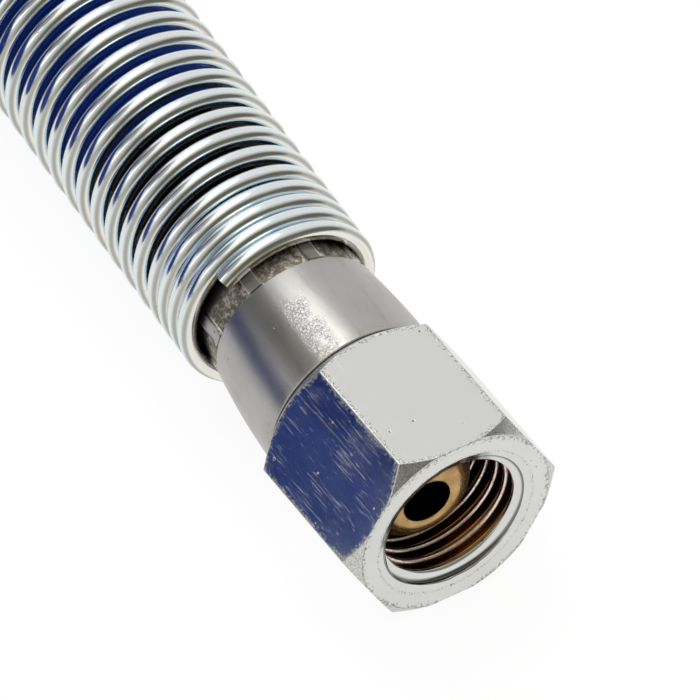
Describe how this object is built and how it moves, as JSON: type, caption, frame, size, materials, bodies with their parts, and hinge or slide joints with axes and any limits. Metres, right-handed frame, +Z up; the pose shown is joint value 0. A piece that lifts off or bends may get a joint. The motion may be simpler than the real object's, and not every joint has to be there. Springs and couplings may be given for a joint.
{
  "type": "steam iron hose",
  "caption": "Rubber steam hose for an iron, with a crimped swivel fitting and a wire bend guard at each end, its spare length coiled.",
  "frame": {"origin": "middle of the flat that the iron end's union nut rests on, on the table", "axes": "+X along the iron end's hose, out of the nut's mouth; +Z up from the table"},
  "size_m": [0.2219, 0.1829, 0.0264],
  "materials": {
    "nickel_plate": "bright nickel plate with small pits and scratches",
    "satin_nickel": "satin nickel plate, browned where the jaws pressed",
    "brass": "turned brass",
    "zinc_wire": "bright zinc plate with a blue and yellow sheen",
    "blue_rubber": "smooth matt rubber"
  },
  "bodies": {
    "hose": {"iron_end_tailpiece": "brass", "iron_end_ferrule": "satin_nickel", "iron_end_bend_guard": "zinc_wire", "iron_end_hose_grip": "blue_rubber", "hose_iron_run": "blue_rubber", "hose_coil": "blue_rubber", "hose_boiler_run": "blue_rubber", "boiler_end_tailpiece": "brass", "boiler_end_ferrule": "satin_nickel", "boiler_end_bend_guard": "zinc_wire", "boiler_end_hose_grip": "blue_rubber"},
    "iron_nut": {"iron_end_union_nut": "nickel_plate"},
    "boiler_nut": {"boiler_end_union_nut": "nickel_plate"}
  },
  "joints": [
    {"name": "iron_nut_swivel", "type": "hinge", "parent": "hose", "child": "iron_nut", "pos_m": [0, 0, 0.0085], "axis": [0.9981, 0.0621, 0], "continuous": true},
    {"name": "boiler_nut_swivel", "type": "hinge", "parent": "hose", "child": "boiler_nut", "pos_m": [-0.00515, -0.15994, 0.01021], "axis": [0.9921, 0, -0.1253], "continuous": true}
  ]
}
